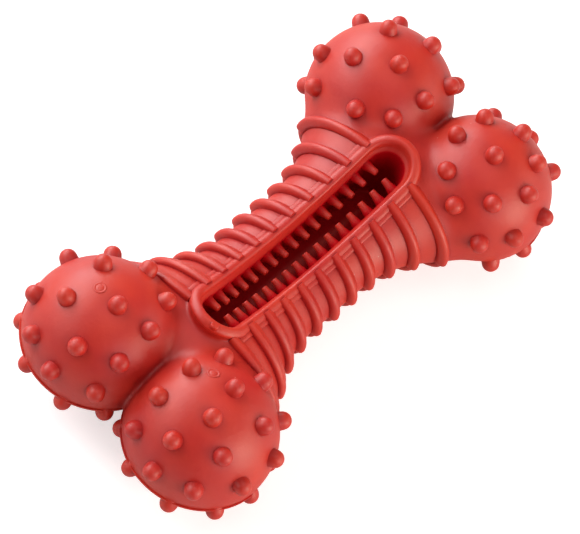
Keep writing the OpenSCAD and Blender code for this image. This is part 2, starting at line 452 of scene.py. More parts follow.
@dataclass(frozen=True)
class RubberFinish:
    """Moulded rubber: its colour, its sheen, the marks of the mould, painted shade in its creases and
    painted shade in its slot.
    """

    name: str
    shape: ToyShape
    colour: Colour = (0.625, 0.034, 0.015)
    deep_colour: Colour = (0.537, 0.017, 0.013)
    mottle: Noise = Noise(55.0, 4.0, 0.55)
    mottle_span: Span = (0.30, 0.62)
    roughness: float = 0.44
    roughness_play: Span = (-0.05, 0.07)
    specular: float = 0.55
    flow: Noise = Noise(190.0, 3.0, 0.6)
    flow_depth: float = 0.00012
    grain: Noise = Noise(1400.0, 2.0, 0.5)
    grain_depth: float = 0.000035
    dust_colour: Colour = (0.80, 0.42, 0.38)
    dust_share: float = 0.5
    dust_scale: float = 230.0
    dust_edge: Span = (0.05, 0.03)
    dust_free_share: float = 0.82
    # Painted shade: a deeper red laid into the creases that ambient occlusion finds, kept clear of the
    # flash.
    crease_painted_shade_colour: Colour = (0.300, 0.002, 0.007)
    crease_painted_shade_share: float = 0.80
    crease_reach: float = 3.0
    crease_rays: int = 8
    crease_open_shares: Span = (0.45, 0.95)
    flash_clear: Span = (0.5, 1.5)
    # Painted shade: a dark red laid into the slot, deeper downward and outward, where the specular also
    # falls to slot_specular.
    slot_painted_shade_colour: Colour = (0.480, 0.003, 0.008)
    slot_specular: float = 0.06
    dark_per_mm_down: float = 0.10
    dark_per_mm_out: float = 0.50
    lit_r: float = 2.5
    lip_fade: Span = (-1.6, -0.2)
    wall_fade: float = 0.3
    floor_play: float = 0.5

    def build(self) -> Material:
        """Builds the node tree.

        Returns:
            The material, read from Object coordinates.
        """
        tool = ShaderTool(self.name)
        place = tool.add("ShaderNodeTexCoord").outputs["Object"]
        mottle = tool.noise(place, self.mottle)
        base = tool.ramp(mottle, self.mottle_span, self.deep_colour, self.colour)
        base = tool.blend(self._dust(tool, place), base, self.dust_colour)
        # Painted shade in the creases.
        base = tool.blend(self._paint_crease_shade(tool, place), base, self.crease_painted_shade_colour)
        # Painted shade in the slot.
        dark = self._slot_shade(tool, place)
        base = tool.blend(dark, base, self.slot_painted_shade_colour)
        flow = tool.noise(place, self.flow)
        less, more = self.roughness_play
        rough = tool.span(flow, UNIT, (self.roughness + less, self.roughness + more))
        # The specular falls where the slot's shade is painted.
        sheen = tool.span(dark, UNIT, (self.specular, self.slot_specular))
        soft = tool.bump(flow, self.flow_depth, None)
        bumped = tool.bump(tool.noise(place, self.grain), self.grain_depth, soft)
        for key, value in (("Base Color", base), ("Roughness", rough), ("Specular IOR Level", sheen),
                           ("Normal", bumped)):
            tool.feed(tool.shader.inputs[key], value)
        return tool.material

    def _dust(self, tool: ShaderTool, place: NodeSocket) -> NodeSocket:
        """Scatters a few specks of dust.

        Args:
            tool: The material's tool.
            place: Socket with the coordinates.

        Returns:
            The dust's share of the colour.
        """
        cells = tool.add("ShaderNodeTexVoronoi", {"Vector": place, "Scale": self.dust_scale})
        speck = tool.span(cells.outputs["Distance"], self.dust_edge, (0.0, self.dust_share))
        parts = tool.add("ShaderNodeSeparateColor", {"Color": cells.outputs["Color"]})
        kept = tool.math("GREATER_THAN", parts.outputs["Red"], self.dust_free_share)
        return tool.math("MULTIPLY", speck, kept)

    def _paint_crease_shade(self, tool: ShaderTool, place: NodeSocket) -> NodeSocket:
        """Paints shade into the creases, a deeper red where ambient occlusion finds nearby surfaces,
        but not beside the flash.

        Args:
            tool: The material's tool.
            place: Socket with the coordinates.

        Returns:
            The share of the painted crease shade.
        """
        near = tool.add("ShaderNodeAmbientOcclusion", {"Distance": self.crease_reach * MM},
                        samples=self.crease_rays)
        share = tool.span(near.outputs["AO"], self.crease_open_shares, (self.crease_painted_shade_share, 0.0))
        parts = tool.add("ShaderNodeSeparateXYZ", {"Vector": place})
        height = tool.math("SUBTRACT", parts.outputs["Z"], self.shape.seam_z * MM)
        none, full = self.flash_clear
        clear = tool.span(tool.math("ABSOLUTE", height), (none * MM, full * MM), UNIT)
        return tool.math("MULTIPLY", share, clear)

    def _slot_shade(self, tool: ShaderTool, place: NodeSocket) -> NodeSocket:
        """Paints shade into the slot, darker downward from its lip and outward to its walls.

        Args:
            tool: The material's tool.
            place: Socket with the coordinates.

        Returns:
            The share of the painted slot shade.
        """
        s = self.shape
        parts = tool.add("ShaderNodeSeparateXYZ", {"Vector": place})
        x, y, z = (tool.math("DIVIDE", parts.outputs[k], MM) for k in "XYZ")
        past = tool.math("MAXIMUM", tool.math("SUBTRACT", tool.math("ABSOLUTE", x), s.slot_half), 0.0)
        square = tool.math("ADD", tool.math("MULTIPLY", past, past), tool.math("MULTIPLY", y, y))
        r = tool.math("SQRT", square)
        bow = tool.math("MULTIPLY", tool.math("MULTIPLY", x, x), s.peg_bow / s.slot_half ** 2)
        down = tool.math("SUBTRACT", tool.math("ADD", bow, s.lip_z), z)
        out = tool.math("SUBTRACT", r, self.lit_r)
        shade = tool.math("ADD", tool.math("MULTIPLY", down, self.dark_per_mm_down),
                          tool.math("MULTIPLY", out, self.dark_per_mm_out))
        under_lip = tool.span(down, self.lip_fade, UNIT)
        within = tool.span(r, (s.slot_w, s.slot_w + self.wall_fade), UNIT[::-1])
        above = tool.math("GREATER_THAN", z, s.floor_z - self.floor_play)
        kept = tool.math("MULTIPLY", within, above)
        lit = tool.math("MULTIPLY", tool.span(shade, UNIT, UNIT), under_lip)
        return tool.math("MULTIPLY", lit, kept)


def add_mesh(name: str, points: np.ndarray, faces: Sequence[Sequence[int]],
             material: Material | None) -> Object:
    """Makes a smooth-shaded mesh object.

    Args:
        name: The piece's name.
        points: Points in millimetres, one row each.
        faces: Point numbers of each face.
        material: Its finish, if any.

    Returns:
        The linked object.
    """
    mesh = bpy.data.meshes.new(name)
    mesh.from_pydata((np.asarray(points) * MM).tolist(), [], [list(map(int, f)) for f in faces])
    mesh.validate()
    mesh.shade_smooth()
    if material is not None:
        mesh.materials.append(material)
    piece = bpy.data.objects.new(name, mesh)
    bpy.context.collection.objects.link(piece)
    return piece


def hand_over(piece: Object, nodes: Sequence[str]) -> None:
    """Puts a piece on the toy's body in place of CAD nodes.

    Args:
        piece: The finished piece.
        nodes: Names of the nodes that it stands for.
    """
    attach(piece, BODY_NAME)
    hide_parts(*nodes)
    LOG.info("%s: %d points", piece.name, len(piece.data.vertices))


def sweep(rows: np.ndarray, closed: bool) -> tuple[np.ndarray, list[list[int]]]:
    """Skins rows of points into a tube.

    Args:
        rows: Array of rows, points in a row and coordinates.
        closed: True where the last row joins the first, else the ends are capped.

    Returns:
        The points and the faces.
    """
    count, around, _ = rows.shape
    points = rows.reshape(-1, 3)
    faces = []
    for r in range(count if closed else count - 1):
        s = (r + 1) % count
        for p in range(around):
            q = (p + 1) % around
            faces.append([r * around + p, r * around + q, s * around + q, s * around + p])
    if not closed:
        faces.append(list(range(around))[::-1])
        faces.append([(count - 1) * around + p for p in range(around)])
    return points, faces


def lathe(name: str, profile: Outline, around: int = 32) -> Object:
    """Turns a profile about Z into a form that a tree repeats.

    Args:
        name: The form's name.
        profile: Radius and height of each ring, from the foot to the tip.
        around: Points in a ring.

    Returns:
        The form, closed at both ends.
    """
    angle = np.linspace(0, 2 * math.pi, around, endpoint=False)
    rows = np.array([[(r * math.cos(a), r * math.sin(a), z) for a in angle] for r, z in profile])
    return add_mesh(name, *sweep(rows, False), None)


def join(piece: Object, extra: Object, place: Matrix, rubber: Material) -> None:
    """Adds one more closed form to a piece.

    Args:
        piece: The piece's mesh object.
        extra: The form, which is used up.
        place: Where the form goes.
        rubber: The finish of both.
    """
    extra.data.transform(place)
    mesh = piece.data
    points = np.concatenate([read_points(mesh), read_points(extra.data)])
    first = len(mesh.vertices)
    faces = [list(f.vertices) for f in mesh.polygons]
    faces += [[v + first for v in f.vertices] for f in extra.data.polygons]
    bpy.data.objects.remove(extra)
    joined = bpy.data.meshes.new(piece.name)
    joined.from_pydata(points.tolist(), [], faces)
    joined.shade_smooth()
    joined.materials.append(rubber)
    piece.data = joined


def read_points(mesh: Mesh) -> np.ndarray:
    """Reads a mesh's points, one row each, in metres."""
    flat = np.empty(len(mesh.vertices) * 3)
    mesh.vertices.foreach_get("co", flat)
    return flat.reshape(-1, 3)


def seed_points(name: str, points: np.ndarray, vectors: dict[str, np.ndarray],
                numbers: dict[str, np.ndarray],
                edges: Sequence[tuple[int, int]] = ()) -> Object:
    """Makes a mesh of points, or of lines, that carries attributes.

    Args:
        name: The object's name.
        points: Points in millimetres.
        vectors: Vector attributes by name.
        numbers: Number attributes by name.
        edges: Pairs of points that lines join.

    Returns:
        The linked object.
    """
    mesh = bpy.data.meshes.new(name)
    mesh.from_pydata((points * MM).tolist(), [list(e) for e in edges], [])
    for key, value in vectors.items():
        mesh.attributes.new(key, "FLOAT_VECTOR", "POINT").data.foreach_set("vector", np.ravel(value))
    for key, value in numbers.items():
        mesh.attributes.new(key, "FLOAT", "POINT").data.foreach_set("value", np.ravel(value))
    seed = bpy.data.objects.new(name, mesh)
    bpy.context.collection.objects.link(seed)
    return seed


def seed_lines(name: str, side: Side, lines: Sequence[FlankLine]) -> Object:
    """Makes a seed of lines over one flank.

    Args:
        name: The object's name.
        side: The flank.
        lines: Places, outward directions and sizes along each line, as on the left flank.

    Returns:
        The seed, which carries the attributes out and size.
    """
    flip = np.array([1, side.value, 1])
    places, outs, sizes = (np.concatenate(part) for part in zip(*lines))
    each = len(lines[0][0])
    edges = [(i * each + j, i * each + j + 1) for i in range(len(lines)) for j in range(each - 1)]
    return seed_points(name, places * flip, {"out": outs * flip}, {"size": sizes}, edges)


def sweep_section(seed: Object, section: np.ndarray, rubber: Material) -> Object:
    """Sweeps one section along every line of a seed object.

    Args:
        seed: Lines that carry the attributes out and size.
        section: Points of the section in millimetres: height, way across and nought.
        rubber: The finish.

    Returns:
        The plain mesh object, under the seed's name.
    """
    ring = [(i, (i + 1) % len(section)) for i in range(len(section))]
    form = seed_points("section_form", section, {}, {}, ring)
    tool = GeometryTool("sweep_section")
    lines = tool.add("GeometryNodeMeshToCurve", {"Mesh": tool.source.outputs["Geometry"]})
    aimed = tool.add("GeometryNodeSetCurveNormal",
                     {"Curve": lines.outputs["Curve"], "Normal": tool.attribute("out", "FLOAT_VECTOR")},
                     mode="FREE")
    outline = tool.add("GeometryNodeMeshToCurve", {"Mesh": tool.form("Section", form)})
    swept = tool.add("GeometryNodeCurveToMesh", {
        "Curve": aimed.outputs["Curve"], "Profile Curve": outline.outputs["Curve"],
        "Scale": tool.attribute("size", "FLOAT"), "Fill Caps": True})
    piece = tool.apply(seed, swept.outputs["Mesh"], rubber)
    bpy.data.objects.remove(form)
    return piece


def soft_min(a: np.ndarray, b: np.ndarray, blend: float) -> np.ndarray:
    """Joins two distance fields with a fillet.

    Args:
        a: The first field.
        b: The second field.
        blend: Width of the fillet.

    Returns:
        The joined field.
    """
    h = np.clip(blend - np.abs(a - b), 0, None) / blend
    return np.minimum(a, b) - h * h * h * blend / 6


def soft_max(a: np.ndarray, b: np.ndarray, blend: float) -> np.ndarray:
    """Cuts one distance field by another with a rounded edge."""
    return -soft_min(-a, -b, blend)


@dataclass
class NetSkin:
    """A closed skin of square-like faces over a distance field."""

    step: float
    low: Place
    high: Place
    settle: int = 4
    probe: float = 0.05
    least_steep: float = 0.05
    stride_share: float = 0.35

    def build(self, distance: Field) -> tuple[np.ndarray, np.ndarray]:
        """Skins the field's zero surface.

        Args:
            distance: Distance at rows of points, negative inside.

        Returns:
            The points and the faces.
        """
        axes = [np.arange(a, b + self.step, self.step) for a, b in zip(self.low, self.high)]
        grid = np.stack(np.meshgrid(*axes, indexing="ij"), -1)
        values = distance(grid.reshape(-1, 3)).reshape(grid.shape[:3])
        cells = np.array(values.shape) - 1
        crossings = [self._crossings(grid, values, axis) for axis in range(3)]
        total = np.zeros((*cells, 3))
        count = np.zeros(cells)
        for axis, (cross, _, spot) in enumerate(crossings):
            b, c = (k for k in range(3) if k != axis)
            for i, j in product((0, 1), repeat=2):
                part = [slice(None)] * 3
                part[b] = slice(i, i + cells[b])
                part[c] = slice(j, j + cells[c])
                hit = cross[tuple(part)]
                total += spot[tuple(part)] * hit[..., None]
                count += hit
        used = count > 0
        number = np.full(used.shape, -1)
        number[used] = np.arange(used.sum())
        points = total[used] / count[used][:, None]
        faces = [self._faces(number, cross, inside, axis)
                 for axis, (cross, inside, _) in enumerate(crossings)]
        for _ in range(self.settle):
            points = self._settled(points, distance)
        return points, np.concatenate(faces)

    def _crossings(self, grid: np.ndarray, values: np.ndarray,
                   axis: int) -> tuple[np.ndarray, np.ndarray, np.ndarray]:
        """Finds where the surface crosses the grid's lines along one axis.

        Args:
            grid: The grid's points.
            values: The field there.
            axis: Number of the axis.

        Returns:
            Whether each line is crossed, whether it starts inside, and where the crossing is.
        """
        start, stop = [slice(None)] * 3, [slice(None)] * 3
        start[axis], stop[axis] = slice(0, -1), slice(1, None)
        a, b = values[tuple(start)], values[tuple(stop)]
        cross = (a < 0) != (b < 0)
        share = np.where(cross, a / np.where(cross, a - b, 1), 0)
        spot = grid[tuple(start)].copy()
        spot[..., axis] += share * self.step
        return cross, a < 0, spot

    def _faces(self, number: np.ndarray, cross: np.ndarray, inside: np.ndarray,
               axis: int) -> np.ndarray:
        """Joins the four points round each crossed line.

        Args:
            number: Number of each cell's point.
            cross: Whether each line is crossed.
            inside: Whether it starts inside.
            axis: Number of the lines' axis.

        Returns:
            Four point numbers a row, outward.
        """
        b, c = (axis + 1) % 3, (axis + 2) % 3
        where = np.argwhere(cross)
        keep = (where[:, b] > 0) & (where[:, c] > 0)
        keep &= (where[:, b] < number.shape[b]) & (where[:, c] < number.shape[c])
        where = where[keep]
        corner = []
        for db, dc in ((1, 1), (0, 1), (0, 0), (1, 0)):
            cell = where.copy()
            cell[:, b] -= db
            cell[:, c] -= dc
            corner.append(number[tuple(cell.T)])
        quad = np.stack(corner, -1)
        flip = ~inside[tuple(where.T)]
        quad[flip] = quad[flip][:, ::-1]
        return quad

    def _settled(self, points: np.ndarray, distance: Field) -> np.ndarray:
        """Moves points a limited step down the field's slope to its zero surface.

        Args:
            points: The points.
            distance: The field.

        Returns:
            The moved points.
        """
        slope = np.stack([distance(points + d) - distance(points - d)
                          for d in np.eye(3) * self.probe], -1) / (2 * self.probe)
        steep = np.maximum((slope ** 2).sum(-1), self.least_steep)
        move = slope * (distance(points) / steep)[:, None]
        size = np.linalg.norm(move, axis=1, keepdims=True)
        stride = self.stride_share * self.step
        return points - move * np.minimum(1, stride / np.maximum(size, TINY))


@dataclass
class MouldedBody:
    """Lobes, necks, shank and slot as one smooth skin."""

    shape: ToyShape
    name: str = "moulded_body"
    step: float = 0.66
    lobe_blend: float = 2.6
    neck_blend: float = 6.0
    rim_blend: float = 1.2
    edge_blend: float = 0.5
    floor_blend: float = 2.0
    shank_short: float = 4.0
    low: Place = (-79.0, -41.0, 1.5)
    high: Place = (79.0, 41.0, 39.5)
    replaced: tuple[str, ...] = (
        "lobe_near_left", "lobe_near_right", "lobe_far_left", "lobe_far_right",
        "neck_near", "neck_far", "wall_left", "wall_right", "slot_floor",
    )

    def lobe_distance(self, p: np.ndarray, side: Side) -> np.ndarray:
        """Distance to the two lobes of one flank.

        Args:
            p: Rows of points.
            side: The flank.

        Returns:
            The distance at each point.
        """
        s = self.shape
        x = np.abs(p[:, 0]) - s.lobe_x
        y = p[:, 1] - side.value * s.lobe_y
        flat = x * x + y * y
        ball = np.sqrt(flat + (p[:, 2] - s.ball_z) ** 2) - s.lobe_r
        cap = np.sqrt(flat + (p[:, 2] - s.cap_z) ** 2) - s.cap_r
        return np.maximum(ball, cap)

    def shank_distance(self, p: np.ndarray) -> np.ndarray:
        """Distance to the shank and its two necks."""
        s = self.shape
        w = s.half_w(p[:, 0])
        z = p[:, 2] - s.seam_z
        e = np.where(z > 0, s.top_h(p[:, 0]), s.low_h(p[:, 0]))
        k0 = np.sqrt((p[:, 1] / w) ** 2 + (z / e) ** 2)
        k1 = np.sqrt((p[:, 1] / w ** 2) ** 2 + (z / e ** 2) ** 2)
        oval = np.where(k1 > TINY, k0 * (k0 - 1) / np.maximum(k1, TINY), -np.minimum(w, e))
        return np.maximum(oval, np.abs(p[:, 0]) - (s.lobe_x - self.shank_short))

    def slot_radius(self, p: np.ndarray) -> np.ndarray:
        """Distance from the slot's middle line, seen from above."""
        past = np.maximum(np.abs(p[:, 0]) - self.shape.slot_half, 0)
        return np.sqrt(past ** 2 + p[:, 1] ** 2)

    def distance(self, p: np.ndarray) -> np.ndarray:
        """Distance to the whole moulding.

        Args:
            p: Rows of points.

        Returns:
            The distance at each point, negative inside.
        """
        s = self.shape
        left, right = (self.lobe_distance(p, side) for side in Side)
        lobes = soft_min(left, right, self.lobe_blend)
        body = soft_min(lobes, self.shank_distance(p), self.neck_blend)
        r = self.slot_radius(p)
        seat = s.seam_z + s.seat(np.minimum(np.abs(p[:, 0]), s.slot_half + s.rim_out))
        ring = soft_max(r - s.rim_out, p[:, 2] - seat, self.edge_blend)
        ring = soft_max(ring, s.floor_z - p[:, 2], self.edge_blend)
        body = soft_min(body, ring, self.rim_blend)
        lip = s.lip(p[:, 0])
        share = np.clip((p[:, 2] - lip) / np.maximum(seat - lip, 1), 0, 1)
        wall = r - (s.slot_w + (s.rim_in - s.slot_w) * share)
        pocket = soft_max(wall, s.floor_z - p[:, 2], self.floor_blend)
        body = soft_max(body, -pocket, self.edge_blend)
        above = np.maximum(r - s.rim_out, seat - p[:, 2])
        return soft_max(body, -above, self.edge_blend)

    def build(self, rubber: Material) -> None:
        """Skins the moulding and hands it over.

        Args:
            rubber: Its finish.
        """
        points, faces = NetSkin(self.step, self.low, self.high).build(self.distance)
        hand_over(add_mesh(self.name, points, faces, rubber), self.replaced)


@dataclass
class SlotRim:
    """The raised bead round the mouth of the slot."""

    shape: ToyShape
    name: str = "slot_rim"
    straight_steps: int = 60
    end_steps: int = 30
    outline: Outline = (
        (0.30, -0.9), (-0.04, -0.55), (-0.06, -0.15), (-0.04, 0.25), (0.03, 0.62), (0.15, 0.98),
        (0.32, 1.28), (0.50, 1.45), (0.68, 1.49), (0.83, 1.36), (0.94, 1.02), (1.00, 0.56),
        (1.03, 0.15),
    )
    gate: Outline = ((1.15, -0.8), (1.15, 0.22), (1.02, 0.36), (0.60, 0.34), (0.30, 0.30))
    gate_place: Place = (-40.43, -2.67, 34.05)
    gate_tilt: float = 0.30
    lead_in: Outline = (
        (0.14, 0.10), (0.36, 0.30), (0.60, 0.52), (0.84, 0.76), (1.00, 0.92), (1.07, 1.04),
        (1.05, 1.20), (0.60, 1.45), (-0.20, 1.35),
    )
    replaced: tuple[str, ...] = ("rim_left", "rim_right", "slot_end_near", "slot_end_far")

    def path(self) -> tuple[np.ndarray, np.ndarray]:
        """Outer edge of the bead, seen from above.

        Returns:
            Places on the edge and the outward directions there.
        """
        s = self.shape
        edge = s.rim_out
        along = np.linspace(-s.slot_half, s.slot_half, self.straight_steps, endpoint=False)
        turn = np.linspace(0, math.pi, self.end_steps, endpoint=False)
        places, outward = [], []
        for end in (End.FAR, End.NEAR):
            sign = end.value
            places.append(np.stack([sign * along, np.full_like(along, -sign * edge)], -1))
            outward.append(np.tile([0.0, -float(sign)], (len(along), 1)))
            way = np.stack([np.sin(turn), -np.cos(turn)], -1) * sign
            places.append(way * edge + [sign * s.slot_half, 0])
            outward.append(way)
        return np.concatenate(places), np.concatenate(outward)

    def build(self, rubber: Material) -> None:
        """Sweeps the bead and hands it over.

        Args:
            rubber: Its finish.
        """
        s = self.shape
        places, outward = self.path()
        across, rise = np.array(self.outline).T
        inward, down = np.array(self.lead_in).T
        offset = np.concatenate([across * (s.rim_in - s.rim_out),
                                 s.rim_in - s.rim_out + inward * (s.slot_w - s.rim_in)])
        rows = np.zeros((len(places), len(offset), 3))
        rows[..., :2] = places[:, None] + outward[:, None] * offset[None, :, None]
        bead = len(across)
        rows[:, :bead, 2] = (s.seam_z + s.seat(places[:, 0]))[:, None] + rise[None]
        x = rows[:, bead:, 0]
        seat = s.seam_z + s.seat(x)
        rows[:, bead:, 2] = seat + (s.lip(x) - seat) * down
        points, faces = sweep(rows[:, ::-1], True)
        piece = add_mesh(self.name, points, faces, rubber)
        place = Matrix.Translation(Vector(self.gate_place) * MM)
        place = place @ Matrix.Rotation(self.gate_tilt, 4, "Y")
        join(piece, lathe("rim_gate", self.gate), place, rubber)
        hand_over(piece, self.replaced)


def lobe_way(end: End, side: Side, height_angle: float, round_angle: float) -> np.ndarray:
    """Direction from a lobe's centre.

    Args:
        end: The lobe's end of the bone.
        side: Its flank.
        height_angle: Degrees above the parting line.
        round_angle: Degrees round the lobe, from outward along the bone toward the flank.

    Returns:
        The unit vector.
    """
    h, a = math.radians(height_angle), math.radians(round_angle)
    along, across = end.value * math.cos(a), side.value * math.sin(a)
    return np.array([along * math.cos(h), across * math.cos(h), math.sin(h)])


@dataclass
class LobeStuds:
    """The studs of one lobe."""

    shape: ToyShape
    end: End
    side: Side
    upper: Sequence[StudPlace]
    lower: Sequence[StudPlace] = (
        (51.2, -51), (51.2, -18), (51.2, 22), (51.2, 58), (51.2, 90), (51.2, 122),
        (25.6, -100), (25.6, -40), (25.6, 20), (25.6, 80), (25.6, 140),
    )
    foot_r: float = 1.0
    foot_chamfer: float = 0.05
    profile: Outline = (
        (2.45, -0.9), (2.60, -0.3), (2.54, 0.0), (2.50, 0.3), (2.46, 0.7), (2.40, 1.2),
        (2.28, 1.65), (2.08, 2.1), (1.80, 2.5), (1.42, 2.85), (0.98, 3.1), (0.50, 3.25), (0.12, 3.3),
    )

    @property
    def name(self) -> str:
        """Name of the piece, as that of its CAD node."""
        return f"studs_{self.end.name}_{self.side.name}".lower()

    def places(self) -> tuple[np.ndarray, np.ndarray]:
        """Roots of the studs.

        Returns:
            The roots, and the directions in which the studs point.
        """
        s = self.shape
        roots, ways = [], []
        rows = [(h, a, s.ball_z, s.lobe_r) for h, a in self.upper]
        rows += [(a - 90, b, s.cap_z, s.cap_r) for a, b in self.lower]
        for height_a, round_a, centre_z, radius in rows:
            way = lobe_way(self.end, self.side, height_a, round_a)
            roots.append(s.lobe_centre(self.end, self.side, centre_z) + way * radius)
            ways.append(way)
        return np.array(roots), np.array(ways)

    def build(self, rubber: Material) -> None:
        """Repeats the stud over the lobe and hands the group over.

        Args:
            rubber: The studs' finish.
        """
        roots, ways = self.places()
        form = lathe("stud_form", self.profile)
        seed = seed_points(self.name, roots, {"way": ways}, {})
        tool = GeometryTool("repeat_studs")
        many = tool.repeat(tool.source.outputs["Geometry"], tool.form("Stud", form),
                           tool.attribute("way", "FLOAT_VECTOR"))
        piece = tool.apply(seed, many, rubber)
        bpy.data.objects.remove(form)
        self.add_foot(piece, rubber)
        hand_over(piece, [self.name])

    def add_foot(self, piece: Object, rubber: Material) -> None:
        """Adds the flat-tipped foot stud under the lobe to the group.

        Args:
            piece: The group's mesh object.
            rubber: The foot's finish.
        """
        s = self.shape
        rows = [(r, z) for r, z in self.profile if z < s.foot_h - self.foot_chamfer]
        rows.append((self.foot_r, s.foot_h))
        foot = lathe("foot_form", rows)
        turn = Matrix.Translation(Vector(s.lobe_centre(self.end, self.side, s.foot_h)) * MM)
        join(piece, foot, turn @ Matrix.Rotation(math.pi, 4, "X"), rubber)


@dataclass
class GateMarks:
    """The round gate marks on the near lobes, each a low ring round a low button."""

    shape: ToyShape
    name: str = "gate_marks"
    places: Sequence[tuple[Side, StudPlace]] = ((Side.LEFT, (75, 79)), (Side.RIGHT, (67, -127)))
    profile: Outline = (
        (1.86, -0.50), (1.80, -0.10), (1.68, 0.05), (1.50, 0.11), (1.30, 0.06),
        (1.12, 0.00), (0.98, 0.03), (0.84, 0.10), (0.60, 0.14), (0.20, 0.15),
    )

    def build(self, rubber: Material) -> None:
        """Sets a mark on each near lobe and hands both over.

        Args:
            rubber: Their finish.
        """
        s = self.shape
        piece = add_mesh(self.name, np.zeros((0, 3)), [], rubber)
        for side, (height_angle, round_angle) in self.places:
            way = lobe_way(End.NEAR, side, height_angle, round_angle)
            root = s.lobe_centre(End.NEAR, side, s.ball_z) + way * s.lobe_r
            turn = Vector(way).to_track_quat("Z", "Y").to_matrix().to_4x4()
            form = lathe("gate_form", self.profile)
            join(piece, form, Matrix.Translation(Vector(root) * MM) @ turn, rubber)
        hand_over(piece, [self.name])


@dataclass
class PegRow:
    """The soft pegs along one wall of the slot."""

    shape: ToyShape
    side: Side
    count: int = 16
    inset: float = 1.2
    drop: float = 0.3
    tilt: float = 12.0
    around: int = 24
    profile: Outline = (
        (1.58, -0.9), (1.54, 0.3), (1.46, 0.8), (1.33, 1.3), (1.20, 1.8), (1.10, 2.3),
        (1.03, 2.9), (0.98, 3.4), (0.95, 3.75), (0.90, 3.92), (0.70, 4.06), (0.60, 4.08),
    )

    @property
    def name(self) -> str:
        """Name of the piece, as that of its CAD node."""
        return f"pegs_{self.side.name}".lower()

    def build(self, rubber: Material) -> None:
        """Repeats the peg along the wall and hands the row over.

        Args:
            rubber: The pegs' finish.
        """
        s = self.shape
        form = lathe("peg_form", self.profile, self.around)
        seed = seed_points(self.name, np.zeros((1, 3)), {}, {})
        tool = GeometryTool("repeat_pegs")
        count = tool.ask("Count", "NodeSocketInt", self.count)
        spacing = 2 * (s.slot_half - self.inset) / (self.count - 1)
        pitch = tool.ask("Pitch", "NodeSocketFloat", spacing * MM)
        wall = tool.ask("Wall", "NodeSocketFloat", self.side.value * s.slot_w * MM)
        height = tool.ask("Height", "NodeSocketFloat", (s.seam_z + s.peg_h - self.drop) * MM)
        bow = tool.ask("Bow", "NodeSocketFloat", s.peg_bow / s.slot_half ** 2 / MM)
        index = tool.add("GeometryNodeInputIndex").outputs["Index"]
        line = tool.add("GeometryNodeMeshLine", {"Count": count}).outputs["Mesh"]
        half = tool.math("MULTIPLY", tool.math("SUBTRACT", count, 1.0), 0.5)
        x = tool.math("MULTIPLY", tool.math("SUBTRACT", index, half), pitch)
        z = tool.math("MULTIPLY_ADD", tool.math("MULTIPLY", x, x), bow, height)
        spot = tool.add("ShaderNodeCombineXYZ", {"X": x, "Y": wall, "Z": z}).outputs["Vector"]
        placed = tool.add("GeometryNodeSetPosition", {"Geometry": line, "Position": spot})
        lean = math.radians(self.tilt)
        way = (0.0, -self.side.value * math.cos(lean), math.sin(lean))
        many = tool.repeat(placed.outputs["Geometry"], tool.form("Peg", form), way)
        piece = tool.apply(seed, many, rubber)
        bpy.data.objects.remove(form)
        hand_over(piece, [self.name])


@dataclass
class FlankRibs:
    """The ribs of one flank, each running from the rim round to the underside."""

    shape: ToyShape
    side: Side
    count: int = 11
    past: float = 2.65
    shift: float = 1.75
    width: float = 3.5
    height: float = 2.15
    points_each: int = 44
    steep_side: int = -1
    upper_size: float = 0.84
    lower_size: float = 0.62
    cut_share: float = 0.15
    start_share: float = 1 / 3
    under_rim: float = 1.6
    profile: Outline = (
        (0.78, -0.45), (0.78, 0.02), (0.75, 0.13), (0.68, 0.17), (0.58, 0.25), (0.46, 0.46),
        (0.34, 0.70), (0.20, 0.90), (0.05, 0.99), (-0.09, 1.0), (-0.23, 0.93), (-0.34, 0.76),
        (-0.41, 0.48), (-0.44, 0.1), (-0.45, -0.45),
    )

    @property
    def name(self) -> str:
        """Name of the piece, and the start of its CAD nodes' names."""
        return f"ribs_{self.side.name}".lower()

    def stations(self) -> np.ndarray:
        """Places of the ribs along the bone."""
        half_row = self.shape.slot_half + self.past
        return np.linspace(-half_row, half_row, self.count) - self.shift

    def line(self, x: float) -> FlankLine:
        """Foot line of one rib over the flank.

        Args:
            x: The rib's place along the bone.

        Returns:
            Places on the flank, the outward directions and the rib's size there.
        """
        s = self.shape
        w, top, low = float(s.half_w(x)), float(s.top_h(x)), float(s.low_h(x))
        first = math.asin(s.slot_w / w)
        first += (math.pi / 2 - first) * self.start_share
        last = math.pi - math.asin((s.rim_out - self.under_rim) / w)
        angle = np.linspace(first, last, self.points_each)
        e = np.where(angle < math.pi / 2, low, top)
        places = np.stack([np.full_like(angle, x), w * np.sin(angle), s.seam_z - e * np.cos(angle)], -1)
        out = np.stack([np.zeros_like(angle), np.sin(angle) * e, -np.cos(angle) * w], -1)
        out /= np.linalg.norm(out, axis=1, keepdims=True)
        above = (angle - math.pi / 2) / (last - math.pi / 2)
        size = np.where(above > 0, 1 - (1 - self.upper_size) * above,
                        np.clip(1 + above / self.cut_share, self.lower_size, 1))
        return places, out, size

    def build(self, rubber: Material) -> None:
        """Sweeps the ribs and hands them over.

        Args:
            rubber: Their finish.
        """
        seed = seed_lines(self.name, self.side, [self.line(float(x)) for x in self.stations()])
        turned = self.side.value * self.steep_side
        outline = self.profile if turned < 0 else self.profile[::-1]
        section = np.array([(h * self.height, a * self.width * turned, 0.0) for a, h in outline])
        hand_over(sweep_section(seed, section, rubber), [f"{self.name}_upper", f"{self.name}_lower"])


